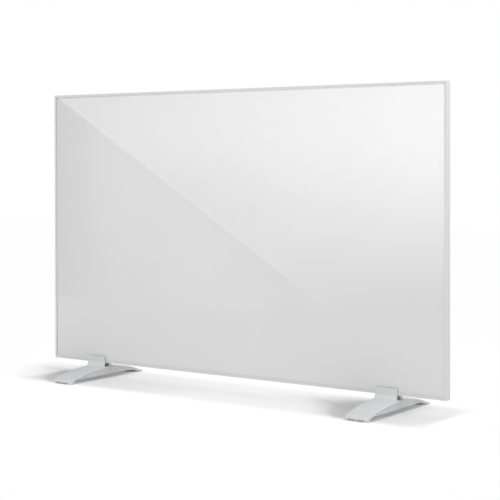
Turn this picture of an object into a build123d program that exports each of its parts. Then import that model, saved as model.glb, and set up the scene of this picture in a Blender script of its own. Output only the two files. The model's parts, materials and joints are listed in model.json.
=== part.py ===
from build123d import *
import math
import os

# Free-standing infrared panel heater: a white glass panel in a mitred aluminium frame, on two
# clamp feet. X runs along the panel, Y from front to back with the glass facing -Y, Z up. The
# origin is on the floor under the middle of the panel's thickness. All sizes are in millimetres.

os.makedirs("parts", exist_ok=True)

# Panel
panel_width = 1000.0
panel_height = 600.0
frame_depth = 15.0
floor_gap = 34.0  # floor to the frame's lower edge

# Frame rail section, measured inwards from the rail's outer face
rail_wall = 1.5
front_lip_height = 5.0
lip_thickness = 1.2
seat_height = 7.0  # inner web that backs the glass
seat_thickness = 1.2
rear_lip_height = 10.0
rail_edge_break = 0.4
key_leg = 30.0
key_clearance = 0.1

# Glass and what lies behind it
glass_thickness = 4.0
gasket_front = 0.5
gasket_rear = 0.9
gasket_edge = 0.5
gasket_setback = 0.2  # gasket leg stops short of the lip it lies on
film_margin = 3.0  # film edge to the seat web
film_thickness = 0.4
bar_width = 10.0
bar_thickness = 0.3
bar_inset = 15.0  # film edge to the bar's middle
bar_end_gap = 10.0
foil_thickness = 0.3
foil_margin = 5.0
board_margin = 2.0  # board edge to the rear lip

# Rear cover
cover_thickness = 0.8
cover_setback = 3.0
cover_corner_radius = 5.0
field_border = 40.0  # flat border round the raised field
field_height = 2.0
field_corner_radius = 18.0
field_taper = 45.0  # degrees, slope of the raised field's edge
cover_screw_count_along = 6
cover_screw_count_up = 4
cover_screw_inset = 6.5
cover_screw_end_gap = 50.0  # panel end to the first screw of the long rows
cover_screw_side_gap = 73.0  # the same for the short rows
cover_screw_head_radius = 3.2
cover_screw_head_height = 2.0
cover_screw_shank_radius = 1.75
cover_screw_length = 6.0
cover_hole_clearance = 0.35

# Fits shared by all fasteners
thread_clearance = 0.05
shank_clearance = 0.25
head_edge_radius = 0.7
recess_width = 0.8
recess_share = 1.15  # length of the driver recess, in head radii
recess_depth = 1.0
hex_sides = 6

# Threaded hanging inserts in the rear cover
insert_from_end = 150.0
insert_from_edge = 120.0
insert_bore_radius = 2.5
insert_body_radius = 3.5
insert_body_length = 7.0
insert_flange_radius = 5.5
insert_flange_thickness = 1.0
insert_pocket_clearance = 2.5

# Feet
foot_from_end = 128.5  # panel end to the foot's middle
foot_half_length = 123.5
foot_half_width = 27.0
foot_corner_radius = 8.0
neck_height = 25.0
toe_height = 6.5
heel_reach = 110.0  # neck to the root of the flat tip behind
heel_height = 4.8
tip_height = 2.3
rim_height = 4.3  # thickness of the upper moulding at the neck
toe_skin = 2.2  # thickness of the upper moulding at the toe
rim_radius = 1.4
jaw_half_width = 24.0
jaw_thickness = 2.6
jaw_rise = 13.5  # jaw top over the panel's lower edge
jaw_corner_radius = 3.0
blend_radius = 10.0
blend_sink = 0.2
blend_root = 2.0
liner_thickness = 1.0
liner_half_length = 20.0
liner_top_gap = 1.5
ledge_front = 4.5  # front edge of the ledge that carries the panel, from the panel's middle
channel_sink = 0.5
rim_overhang = 1.5  # lower moulding set back under the rim
toe_setback = 0.5
base_heel_reach = 88.0  # neck to the rear end of the lower moulding
base_heel_top = 6.8
base_heel_bottom = 5.2
base_heel_corner = 1.0
mould_gap = 0.05
belly_height = 7.8
belly_rear = 70.0
toe_length = 8.0
toe_slope = 7.0
sole_lift = 0.5
base_wall = 2.0
cavity_front = 90.0
cavity_rear = 66.0
rib_thickness = 2.5
rib_pitch = 25.0
front_ribs = 3
rear_ribs = 2
notch_width = 15.6
notch_height = 4.2
notch_depth = 2.5
notch_rib = 3.6
pad_width = 30.0
pad_length = 4.0
pad_inlet = 1.5  # pad depth let into the toe
heel_pad_inlet = 0.8
pad_behind_notch = 1.0
pad_from_tip = 6.5
base_screw_spread = 14.0
base_screw_offset = 14.0
base_screw_head_radius = 3.2
base_screw_head_height = 2.4
base_screw_shank_radius = 1.6
base_screw_bite = 4.2
base_screw_end_gap = 0.3
clamp_screw_spread = 12.0
clamp_screw_rise = 6.0
clamp_screw_head_radius = 3.8
clamp_screw_head_height = 2.6
clamp_screw_shank_radius = 2.0
clamp_screw_tip = 0.8
nut_plate_length = 40.0
nut_plate_thickness = 3.0
nut_plate_side_gap = 0.7

# Junction box on the rear cover
box_from_end = 240.0
box_from_bottom = 90.0
box_width = 120.0
box_height = 80.0
box_depth = 27.0
box_wall = 2.2
box_corner_radius = 6.0
lid_thickness = 3.0
lid_edge_radius = 1.5
lid_rim_depth = 2.0
lid_rim_thickness = 1.5
lid_rim_gap = 0.2
boss_radius = 4.0
boss_inset = 8.0
lid_screw_head_radius = 2.8
lid_screw_head_height = 1.8
lid_screw_shank_radius = 1.5
lid_screw_length = 12.0
lid_screw_sink = 1.2
rivet_from_end = 35.0
rivet_from_edge = 10.0
rivet_radius = 1.6
rivet_head_radius = 3.2
rivet_head_height = 1.0
rivet_tail_radius = 2.4
rivet_tail_height = 1.2

# Cable gland in the box's lower wall
gland_from_end = 25.0
gland_thread_radius = 8.0
gland_flange_radius = 11.0
gland_flange_height = 5.0
gland_thread_length = 8.0
gland_socket_radius = 6.5
gland_socket_depth = 9.0
gland_neck_radius = 9.0
gland_neck_length = 8.0
gland_bore_radius = 5.0
gland_cap_radius = 11.0
gland_cap_height = 11.0
gland_cap_edge = 1.5
seal_bore_radius = 3.6
seal_radius_clearance = 0.05
locknut_radius = 9.5
locknut_height = 4.0

# Inside the box
block_length = 30.0
block_height = 18.0
block_depth = 15.0
block_pitch = 10.0
block_from_bottom = 31.0
clamp_radius = 3.0
clamp_bore_radius = 1.6
clamp_length = 16.0
terminal_screw_radius = 1.4
terminal_screw_head_radius = 2.2
terminal_screw_head_height = 1.2
terminal_screw_pitch = 8.0
wire_radius = 1.1
wire_bend = 4.0
earth_wire_bend = 3.0
wire_entry = 4.0  # wire inside its clamp
grommet_from_top = 15.0
grommet_bore_radius = 5.0
grommet_neck_radius = 7.0
grommet_flange_radius = 9.0
grommet_flange_thickness = 1.4
wire_spread_x = 2.0
wire_spread_z = 1.8
tilt_width = 20.0
tilt_height = 24.0
tilt_depth = 14.0
tilt_offset = 5.0
tilt_drop = 11.0
stud_from_end = 15.0
stud_from_top = 17.0
stud_radius = 2.0
stud_head_radius = 3.5
stud_head_height = 1.5
stud_length = 12.0
stud_nut_radius = 3.8
stud_nut_height = 3.2
ring_radius = 4.2
ring_thickness = 1.0
ring_barrel_width = 3.6
ring_barrel_length = 7.0
ring_barrel_height = 3.0

# Thermal cut-out and leads in the board
cutout_x = 40.0
cutout_length = 20.0
cutout_height = 9.0
cutout_thickness = 5.0
groove_width = 4.0
pocket_gap = 0.5
crimp_width = 8.0
crimp_height = 6.0
crimp_depth = 4.3

# Rocker switch in the box's end wall
switch_bezel_length = 21.0
switch_bezel_width = 15.0
switch_bezel_thickness = 1.8
switch_bezel_radius = 1.2
switch_body_length = 19.0
switch_body_width = 13.0
switch_body_depth = 16.0
switch_fit = 0.15
switch_cavity_depth = 10.0
rocker_radius = 8.5
rocker_half_width = 5.5
rocker_end_gap = 0.3
rocker_side_gap = 0.25
rocker_pivot_depth = 1.0  # pivot behind the wall's outer face
rocker_waist = 3.5
rocker_crest = 5.5
rocker_crest_at = 7.5
rocker_belly = 3.5
rocker_tilt = 10.0  # degrees either side of level
trunnion_radius = 1.2
trunnion_clearance = 0.05
trunnion_reach = 0.6
blade_width = 4.8
blade_thickness = 0.8
blade_length = 10.0
blade_spread = 5.0
switch_wire_depth = 4.5  # tip-over lead over the box floor

# Places that follow from the sizes
front_y = -frame_depth / 2
rear_y = frame_depth / 2
bottom_z = floor_gap
middle_z = floor_gap + panel_height / 2
top_z = floor_gap + panel_height
glass_front = front_y + lip_thickness + gasket_front
glass_rear = glass_front + glass_thickness
seat_front = glass_rear + gasket_rear
seat_rear = seat_front + seat_thickness
chamber_rear = rear_y - lip_thickness
film_rear = glass_rear + film_thickness
bar_rear = film_rear + bar_thickness
foil_rear = bar_rear + foil_thickness
film_width = panel_width - 2 * (seat_height + film_margin)
film_height = panel_height - 2 * (seat_height + film_margin)
bar_x = film_width / 2 - bar_inset
cover_rear = rear_y + cover_thickness
field_rear = cover_rear + field_height
field_inner = rear_y + field_height
box_x = panel_width / 2 - box_from_end
box_z = bottom_z + box_from_bottom
box_floor = field_rear + box_wall
box_rim = field_rear + box_depth
box_end_x = box_x - box_width / 2
box_top_z = box_z + box_height / 2
grommet_z = box_top_z - grommet_from_top
foot_x = panel_width / 2 - foot_from_end


def upright(y):
    """Plane parallel to the glass, at y, whose normal points to the front."""
    return Plane.XZ.offset(-y)


def finish(part, label):
    """Names a piece and writes it."""
    part.label = label
    export_step(part, f"parts/{label}.step")


def slab(width, height, front, rear, x=0.0, z=middle_z, mode=Mode.ADD, radius=0.0):
    """Rectangle parallel to the glass, between two depths."""
    with BuildSketch(upright(rear)) as face:
        with Locations((x, z)):
            if radius > 0:
                RectangleRounded(width, height, radius)
            else:
                Rectangle(width, height)
    extrude(face.sketch, amount=rear - front, mode=mode)


def holes(points, radius, front, rear):
    """Round holes square to the glass, between two depths."""
    with BuildSketch(upright(rear)) as faces:
        with Locations(*points):
            Circle(radius)
    extrude(faces.sketch, amount=rear - front, mode=Mode.SUBTRACT)


def spread(span, count):
    """Evenly spaced places over a span, about its middle."""
    return [span * (i / (count - 1) - 0.5) for i in range(count)]


def screws(label, seat, points, head_radius, head_height, shank_radius, shank_length):
    """Pan-head screws in one node. The seat plane's normal runs along the shanks."""
    with BuildPart() as group:
        with BuildSketch(seat):
            with Locations(*points):
                Circle(head_radius)
        extrude(amount=-head_height)
        along = Axis(seat.origin, seat.z_dir)
        crown = group.edges().filter_by(GeomType.CIRCLE).group_by(along)[0]
        fillet(crown, min(head_edge_radius, head_height / 2))
        with BuildSketch(seat):
            with Locations(*points):
                Circle(shank_radius)
        extrude(amount=shank_length)
        with BuildSketch(seat.offset(-head_height)):
            with Locations(*points):
                Rectangle(head_radius * recess_share, recess_width)
                Rectangle(recess_width, head_radius * recess_share)
        extrude(amount=min(recess_depth, head_height / 2), mode=Mode.SUBTRACT)
    finish(group.part, label)


# ---- Frame: four mitred rails of one extruded section ----

outer = rail_edge_break
rail_section = [
    (outer, 0),
    (front_lip_height, 0),
    (front_lip_height, -lip_thickness),
    (rail_wall, -lip_thickness),
    (rail_wall, front_y - seat_front),
    (seat_height, front_y - seat_front),
    (seat_height, front_y - seat_rear),
    (rail_wall, front_y - seat_rear),
    (rail_wall, front_y - chamber_rear),
    (rear_lip_height, front_y - chamber_rear),
    (rear_lip_height, -frame_depth),
    (outer, -frame_depth),
    (0, outer - frame_depth),
    (0, -outer),
]

along_span = panel_width - 2 * cover_screw_end_gap
up_span = panel_height - 2 * cover_screw_side_gap
low_screw_z = bottom_z + cover_screw_inset
high_screw_z = top_z - cover_screw_inset
side_screw_x = panel_width / 2 - cover_screw_inset
bottom_points = [(x, low_screw_z) for x in spread(along_span, cover_screw_count_along)]
top_points = [(x, high_screw_z) for x in spread(along_span, cover_screw_count_along)]
left_points = [(-side_screw_x, middle_z + z) for z in spread(up_span, cover_screw_count_up)]
right_points = [(side_screw_x, middle_z + z) for z in spread(up_span, cover_screw_count_up)]
clamp_z = bottom_z + clamp_screw_rise
clamp_points = {
    side: [(x + s * clamp_screw_spread, clamp_z) for s in (-1, 1)]
    for side, x in (("left", -foot_x), ("right", foot_x))
}
all_clamp_points = clamp_points["left"] + clamp_points["right"]

rails = {
    "frame_bottom": ((0, bottom_z), (1, 0), panel_width, bottom_points, all_clamp_points),
    "frame_top": ((0, top_z), (-1, 0), panel_width, top_points, []),
    "frame_left": ((-panel_width / 2, middle_z), (0, -1), panel_height, left_points, []),
    "frame_right": ((panel_width / 2, middle_z), (0, 1), panel_height, right_points, []),
}
for label, (edge, run, length, screw_points, foot_points) in rails.items():
    lay = Plane(
        origin=(edge[0], front_y, edge[1]), x_dir=(run[0], 0, run[1]), z_dir=(0, -1, 0)
    )
    section = Plane(origin=lay.origin, x_dir=lay.y_dir, z_dir=lay.x_dir)
    with BuildPart() as rail:
        with BuildSketch(section):
            with BuildLine():
                Polyline(*rail_section, close=True)
            make_face()
        extrude(amount=length / 2, both=True)
        for end in (-1, 1):
            corner = lay.from_local_coords(Vector(end * length / 2, 0, 0))
            mitre = Plane(origin=corner, z_dir=lay.x_dir * end + lay.y_dir)
            split(bisect_by=mitre, keep=Keep.BOTTOM)
        holes(screw_points, cover_screw_shank_radius + thread_clearance, chamber_rear, rear_y)
        if foot_points:
            hole_radius = clamp_screw_shank_radius + shank_clearance
            holes(foot_points, hole_radius, chamber_rear, rear_y)
    finish(rail.part, label)

# Corner keys: one L in the rear chamber of each corner
key_front = seat_rear + key_clearance
key_rear = chamber_rear - key_clearance
key_outer = rail_wall + key_clearance
key_inner = rear_lip_height - key_clearance
with BuildPart() as corner_keys:
    for sx in (-1, 1):
        for sz in (-1, 1):
            half_x = panel_width / 2
            half_z = panel_height / 2
            outline = [
                (sx * (half_x - key_outer), middle_z + sz * (half_z - key_outer)),
                (sx * (half_x - key_outer - key_leg), middle_z + sz * (half_z - key_outer)),
                (sx * (half_x - key_outer - key_leg), middle_z + sz * (half_z - key_inner)),
                (sx * (half_x - key_inner), middle_z + sz * (half_z - key_inner)),
                (sx * (half_x - key_inner), middle_z + sz * (half_z - key_outer - key_leg)),
                (sx * (half_x - key_outer), middle_z + sz * (half_z - key_outer - key_leg)),
            ]
            with BuildSketch(upright(key_rear)):
                with BuildLine():
                    Polyline(*outline, close=True)
                make_face()
            extrude(amount=key_rear - key_front)
finish(corner_keys.part, "corner_keys")

# ---- Glass, gasket and the heating layers ----

glass_margin = rail_wall + gasket_edge
with BuildPart() as front_glass:
    slab(panel_width - 2 * glass_margin, panel_height - 2 * glass_margin, glass_front, glass_rear)
finish(front_glass.part, "front_glass")

with BuildPart() as glass_gasket:
    legs = (
        (front_y + lip_thickness, glass_front, front_lip_height - gasket_setback),
        (glass_front, glass_rear, glass_margin),
        (glass_rear, seat_front, seat_height - gasket_setback),
    )
    for leg_front, leg_rear, reach in legs:
        full = 2 * rail_wall
        slab(panel_width - full, panel_height - full, leg_front, leg_rear)
    for leg_front, leg_rear, reach in legs:
        open_width = panel_width - 2 * reach
        open_height = panel_height - 2 * reach
        slab(open_width, open_height, leg_front, leg_rear, mode=Mode.SUBTRACT)
finish(glass_gasket.part, "glass_gasket")

with BuildPart() as heating_film:
    slab(film_width, film_height, glass_rear, film_rear)
finish(heating_film.part, "heating_film")

live_z = grommet_z + wire_spread_z
neutral_z = grommet_z - wire_spread_z
crimp_places = ((-bar_x, live_z), (bar_x, neutral_z))
with BuildPart() as bus_bars:
    for x, z in crimp_places:
        slab(bar_width, film_height - 2 * bar_end_gap, film_rear, bar_rear, x=x)
        slab(crimp_width, crimp_height, film_rear, bar_rear + crimp_depth, x=x, z=z)
finish(bus_bars.part, "bus_bars")

with BuildPart() as reflector_foil:
    slab(film_width - 2 * foil_margin, film_height - 2 * foil_margin, bar_rear, foil_rear)
    for x, z in crimp_places:
        opening = 2 * pocket_gap
        slab(
            crimp_width + opening, crimp_height + opening, bar_rear, foil_rear,
            x=x, z=z, mode=Mode.SUBTRACT,
        )
finish(reflector_foil.part, "reflector_foil")

# Insulation board with pockets for the inserts, the cut-out, the crimps and the leads
lead_y = foil_rear + cutout_thickness / 2
groove_front = lead_y - wire_radius - pocket_gap / 2
insert_x = panel_width / 2 - insert_from_end
insert_z = panel_height / 2 - insert_from_edge
insert_points = [(sx * insert_x, middle_z + sz * insert_z) for sx in (-1, 1) for sz in (-1, 1)]
stud_x = box_end_x + stud_from_end
stud_z = box_top_z - stud_from_top
grooves = (
    (-bar_x, cutout_x, live_z),
    (cutout_x, box_x + wire_spread_x + groove_width / 2, live_z),
    (box_x - wire_spread_x - groove_width / 2, bar_x, neutral_z),
)
board_inset = rear_lip_height + board_margin
with BuildPart() as insulation_board:
    slab(panel_width - 2 * board_inset, panel_height - 2 * board_inset, foil_rear, rear_y)
    for x, z in crimp_places:
        slab(
            crimp_width + 2 * pocket_gap, crimp_height + 2 * pocket_gap, foil_rear, rear_y,
            x=x, z=z, mode=Mode.SUBTRACT,
        )
    slab(
        cutout_length + 2 * pocket_gap, cutout_height + 2 * pocket_gap, foil_rear, rear_y,
        x=cutout_x, z=live_z, mode=Mode.SUBTRACT,
    )
    for start, end, z in grooves:
        slab(
            end - start, groove_width, groove_front, rear_y,
            x=(start + end) / 2, z=z, mode=Mode.SUBTRACT,
        )
    holes(insert_points, insert_body_radius + insert_pocket_clearance, foil_rear, rear_y)
    holes([(box_x, grommet_z)], grommet_flange_radius + pocket_gap, groove_front, rear_y)
finish(insulation_board.part, "insulation_board")

# ---- Rear cover: sheet with a raised field ----

cover_width = panel_width - 2 * cover_setback
cover_height = panel_height - 2 * cover_setback
field_width = cover_width - 2 * field_border
field_height_z = cover_height - 2 * field_border
inner_shift = 2 * cover_thickness * math.tan(math.radians(field_taper / 2))
rivet_x = box_width / 2 - rivet_from_end
rivet_z = box_height / 2 - rivet_from_edge
rivet_points = [(box_x + sx * rivet_x, box_z + sz * rivet_z) for sx in (-1, 1) for sz in (-1, 1)]
cover_points = bottom_points + top_points + left_points + right_points
with BuildPart() as rear_cover:
    slab(cover_width, cover_height, rear_y, cover_rear, radius=cover_corner_radius)
    with BuildSketch(upright(cover_rear)):
        with Locations((0, middle_z)):
            RectangleRounded(field_width, field_height_z, field_corner_radius)
    extrude(amount=-field_height, taper=field_taper)
    with BuildSketch(upright(rear_y)):
        with Locations((0, middle_z)):
            RectangleRounded(
                field_width - inner_shift, field_height_z - inner_shift, field_corner_radius
            )
    extrude(amount=-field_height, taper=field_taper, mode=Mode.SUBTRACT)
    holes(cover_points, cover_screw_shank_radius + cover_hole_clearance, rear_y, cover_rear)
    holes(all_clamp_points, clamp_screw_shank_radius + shank_clearance, rear_y, cover_rear)
    holes(insert_points, insert_body_radius + thread_clearance, field_inner, field_rear)
    holes(rivet_points, rivet_radius + thread_clearance, field_inner, field_rear)
    holes([(box_x, grommet_z)], grommet_neck_radius + thread_clearance, field_inner, field_rear)
    holes([(stud_x, stud_z)], stud_radius + thread_clearance, field_inner, field_rear)
finish(rear_cover.part, "rear_cover")

screws(
    "cover_screws", upright(cover_rear), cover_points, cover_screw_head_radius,
    cover_screw_head_height, cover_screw_shank_radius, cover_screw_length,
)

with BuildPart() as hanging_inserts:
    with BuildSketch(upright(field_rear)):
        with Locations(*insert_points):
            Circle(insert_flange_radius)
    extrude(amount=-insert_flange_thickness)
    with BuildSketch(upright(field_rear)):
        with Locations(*insert_points):
            Circle(insert_body_radius)
    extrude(amount=insert_body_length)
    insert_end = field_rear - insert_body_length
    holes(insert_points, insert_bore_radius, insert_end, field_rear + insert_flange_thickness)
finish(hanging_inserts.part, "hanging_inserts")

# ---- Feet ----


def arch(y, apex, reach, end):
    """Height at y of the circular arc that leaves apex level and comes down to end at reach."""
    fall = apex - end
    radius = (reach**2 + fall**2) / (2 * fall)
    return apex - radius + math.sqrt(radius**2 - y**2)


def half_arch(way, apex, reach, end, stop):
    """That arc as a line from the apex to stop, towards the front (way -1) or the rear (1)."""
    middle, tip = (arch(y, apex, reach, end) for y in (stop / 2, stop))
    return ThreePointArc((0, apex), (way * stop / 2, middle), (way * stop, tip))


def cut_to_plan(x, half_width, front, rear, front_corner, rear_corner, height):
    """Cuts a foot moulding to its outline from above, a rectangle with rounded corners."""
    with BuildSketch(Plane.XY) as plan:
        with Locations((x, (rear - front) / 2)):
            Rectangle(2 * half_width, front + rear)
        fillet(plan.vertices().group_by(Axis.Y)[0], front_corner)
        fillet(plan.vertices().group_by(Axis.Y)[-1], rear_corner)
    extrude(plan.sketch, amount=height, mode=Mode.INTERSECT)


rest_z = bottom_z - liner_thickness
slot_front = front_y - liner_thickness
slot_rear = cover_rear + liner_thickness
jaw_front = slot_front - jaw_thickness
jaw_rear = slot_rear + jaw_thickness
jaw_top = bottom_z + jaw_rise
crown_apex = neck_height - rim_height
crown_end = toe_height - toe_skin
base_half_length = foot_half_length - toe_setback
toe_inner = base_half_length - toe_length
blend_start = jaw_front - blend_radius
blend_end = jaw_rear + blend_radius
front_z = arch(blend_start, neck_height, foot_half_length, toe_height) - blend_sink
rear_z = arch(blend_end, neck_height, heel_reach, heel_height) - blend_sink
toe_pad_y = pad_length / 2 + pad_behind_notch + notch_depth - base_half_length
heel_pad_y = foot_half_length - pad_from_tip
base_half_width = foot_half_width - rim_overhang
base_apex = crown_apex - mould_gap
base_toe_top = crown_end - mould_gap
cavity_top = base_apex - base_wall
cavity_toe = base_toe_top - base_wall
cavity_heel = base_heel_top - mould_gap - base_wall
liner_top = jaw_top - liner_top_gap

for side, x in (("left", -foot_x), ("right", foot_x)):
    middle = Plane.YZ.offset(x)
    base_screw_points = [
        (x + sx * base_screw_spread, sy * base_screw_offset) for sx in (-1, 1) for sy in (-1, 1)
    ]

    # Upper moulding: arched band with the two jaws, the channel under the panel and the rear tip
    with BuildPart() as foot_cover:
        with BuildSketch(middle):
            with BuildLine():
                over_front = half_arch(
                    -1, neck_height, foot_half_length, toe_height, foot_half_length
                )
                over_rear = half_arch(1, neck_height, heel_reach, heel_height, heel_reach)
                tip = TangentArc(
                    over_rear @ 1, (foot_half_length, tip_height), tangent=over_rear % 1
                )
                under_front = half_arch(
                    -1, crown_apex, foot_half_length, crown_end, foot_half_length
                )
                under_rear = half_arch(
                    1, crown_apex, base_heel_reach, base_heel_top, base_heel_reach
                )
                Line(over_front @ 1, under_front @ 1)
                Polyline(
                    under_rear @ 1, (base_heel_reach, base_heel_bottom), (heel_reach, sole_lift),
                    (foot_half_length, sole_lift), tip @ 1,
                )
            make_face()
        extrude(amount=foot_half_width, both=True)
        cut_to_plan(
            x, foot_half_width, foot_half_length, foot_half_length,
            foot_corner_radius, foot_corner_radius, jaw_top,
        )
        top_edges = foot_cover.faces().filter_by(lambda face: face.normal_at().Z > 0).edges()
        crosswise = top_edges.filter_by(Axis.X).group_by(Axis.Y)
        fillet(
            top_edges.filter_by(Axis.X, reverse=True) + crosswise[0] + crosswise[-1], rim_radius
        )
        with BuildSketch(middle):
            with BuildLine():
                front_blend = CenterArc(
                    (blend_start, front_z + blend_radius), blend_radius, -90, 90
                )
                rear_blend = CenterArc((blend_end, rear_z + blend_radius), blend_radius, 180, 90)
                Polyline(front_blend @ 1, (jaw_front, jaw_top), (jaw_rear, jaw_top), rear_blend @ 0)
                Polyline(
                    rear_blend @ 1,
                    (blend_end, rear_z - blend_root),
                    (blend_start, front_z - blend_root),
                    front_blend @ 0,
                )
            make_face()
        extrude(amount=jaw_half_width, both=True)
        with BuildSketch(middle):
            with Locations((slot_front, neck_height - channel_sink)):
                Rectangle(
                    ledge_front - slot_front, jaw_top - neck_height + 2 * channel_sink,
                    align=(Align.MIN, Align.MIN),
                )
            with Locations((slot_front, rest_z)):
                Rectangle(
                    slot_rear - slot_front, jaw_top - rest_z + channel_sink,
                    align=(Align.MIN, Align.MIN),
                )
        extrude(amount=foot_half_width, both=True, mode=Mode.SUBTRACT)
        fillet(
            foot_cover.edges().filter_by(Axis.Y).group_by(Axis.Z)[-1], jaw_corner_radius
        )
        holes(
            clamp_points[side], clamp_screw_shank_radius + shank_clearance, slot_rear, jaw_rear
        )
        with BuildSketch(Plane.XY.offset(crown_apex - rim_height)):
            with Locations(*base_screw_points):
                Circle(base_screw_shank_radius + thread_clearance)
        extrude(
            amount=rim_height + base_screw_bite + base_screw_end_gap, mode=Mode.SUBTRACT
        )
        with BuildSketch(Plane.XY):
            with Locations((x, heel_pad_y)):
                Rectangle(pad_width, pad_length)
        extrude(amount=sole_lift + heel_pad_inlet, mode=Mode.SUBTRACT)
    finish(foot_cover.part, f"foot_cover_{side}")

    # Lower moulding: hollow arch set back under the rim, which stands on its recessed toe
    with BuildPart() as foot_base:
        with BuildSketch(middle):
            with BuildLine():
                crown_front = half_arch(
                    -1, base_apex, foot_half_length, base_toe_top, foot_half_length
                )
                crown_rear = half_arch(
                    1, base_apex, base_heel_reach, base_heel_top - mould_gap, base_heel_reach
                )
                Polyline(
                    crown_front @ 1,
                    (-foot_half_length, sole_lift),
                    (-toe_inner, sole_lift),
                    (-toe_inner + toe_slope, belly_height),
                    (belly_rear, belly_height),
                    (base_heel_reach, base_heel_bottom),
                    crown_rear @ 1,
                )
            make_face()
        extrude(amount=foot_half_width, both=True)
        cut_to_plan(
            x, base_half_width, base_half_length, base_heel_reach - mould_gap,
            foot_corner_radius - rim_overhang, base_heel_corner, neck_height,
        )
        for flank in (-1, 1):
            with BuildSketch(Plane.YZ.offset(x + flank * rib_thickness / 2)):
                with BuildLine():
                    front_roof = half_arch(
                        -1, cavity_top, foot_half_length, cavity_toe, cavity_front
                    )
                    rear_roof = half_arch(
                        1, cavity_top, base_heel_reach, cavity_heel, cavity_rear
                    )
                    Polyline(
                        front_roof @ 1, (-cavity_front, belly_height),
                        (cavity_rear, belly_height), rear_roof @ 1,
                    )
                make_face()
                ribs = [n * rib_pitch for n in range(-front_ribs, rear_ribs + 1)]
                with Locations(*[(y, belly_height) for y in ribs]):
                    Rectangle(rib_thickness, 2 * neck_height, mode=Mode.SUBTRACT)
            extrude(
                amount=flank * (base_half_width - base_wall - rib_thickness / 2),
                mode=Mode.SUBTRACT,
            )
        with BuildSketch(upright(-base_half_length)):
            for flank in (-1, 1):
                with Locations((x + flank * (notch_rib + notch_width) / 2, 0)):
                    Rectangle(notch_width, 2 * notch_height)
        extrude(amount=-notch_depth, mode=Mode.SUBTRACT)
        with BuildSketch(Plane.XY):
            with Locations((x, toe_pad_y)):
                Rectangle(pad_width, pad_length)
        extrude(amount=sole_lift + pad_inlet, mode=Mode.SUBTRACT)
        with BuildSketch(Plane.XY.offset(belly_height)):
            with Locations(*base_screw_points):
                Circle(base_screw_shank_radius + shank_clearance)
        extrude(amount=neck_height, mode=Mode.SUBTRACT)
    finish(foot_base.part, f"foot_base_{side}")

    # Rubber liner: a strip on the front jaw, and an angle behind that carries the panel
    with BuildPart() as foot_liner:
        with BuildSketch(middle):
            with Locations((slot_front, bottom_z)):
                Rectangle(
                    front_y - slot_front, liner_top - bottom_z, align=(Align.MIN, Align.MIN)
                )
            with BuildLine():
                Polyline(
                    (slot_rear, rest_z), (ledge_front, rest_z),
                    (ledge_front, bottom_z), (cover_rear, bottom_z),
                    (cover_rear, liner_top), (slot_rear, liner_top), close=True,
                )
            make_face()
        extrude(amount=liner_half_length, both=True)
        holes(
            clamp_points[side], clamp_screw_shank_radius + shank_clearance, cover_rear, slot_rear
        )
    finish(foot_liner.part, f"foot_liner_{side}")

    with BuildPart() as foot_pads:
        for y, inlet in ((toe_pad_y, pad_inlet), (heel_pad_y, heel_pad_inlet)):
            with BuildSketch(Plane.XY):
                with Locations((x, y)):
                    Rectangle(pad_width, pad_length)
            extrude(amount=sole_lift + inlet)
    finish(foot_pads.part, f"foot_pads_{side}")

    head_reach = base_screw_offset + base_screw_head_radius
    seat_z = arch(head_reach, cavity_top, base_heel_reach, cavity_heel)
    screws(
        f"foot_base_screws_{side}", Plane.XY.offset(seat_z), base_screw_points,
        base_screw_head_radius, base_screw_head_height, base_screw_shank_radius,
        crown_apex + base_screw_bite - seat_z,
    )

    nut_front = chamber_rear - nut_plate_thickness
    with BuildPart() as nut_plate:
        slab(
            nut_plate_length, rear_lip_height - rail_wall - 2 * nut_plate_side_gap,
            nut_front, chamber_rear, x=x, z=bottom_z + (rail_wall + rear_lip_height) / 2,
        )
        holes(
            clamp_points[side], clamp_screw_shank_radius + thread_clearance, nut_front, chamber_rear
        )
    finish(nut_plate.part, f"clamp_nut_plate_{side}")

    screws(
        f"clamp_screws_{side}", upright(jaw_rear), clamp_points[side], clamp_screw_head_radius,
        clamp_screw_head_height, clamp_screw_shank_radius,
        jaw_rear - nut_front + clamp_screw_tip,
    )

# ---- Junction box ----

switch_y = field_rear + box_depth / 2 + lid_thickness / 2
wall_x = box_x + box_width / 2  # outer face of the wall that holds the switch
floor_z = box_z - box_height / 2  # outer face of the wall that holds the gland
gland_x = box_end_x + gland_from_end
boss_points = [
    (box_x + sx * (box_width / 2 - boss_inset), box_z + sz * (box_height / 2 - boss_inset))
    for sx in (-1, 1)
    for sz in (-1, 1)
]
inner_width = box_width - 2 * box_wall
inner_height = box_height - 2 * box_wall
inner_radius = box_corner_radius - box_wall
block_x = gland_x
block_z = floor_z + block_from_bottom
block_front = switch_y - block_depth / 2
switch_plane = Plane(origin=(wall_x, switch_y, box_z), x_dir=(0, 1, 0), z_dir=(1, 0, 0))
gland_plane = Plane(origin=(gland_x, switch_y, floor_z), x_dir=(1, 0, 0), z_dir=(0, 0, -1))

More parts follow.
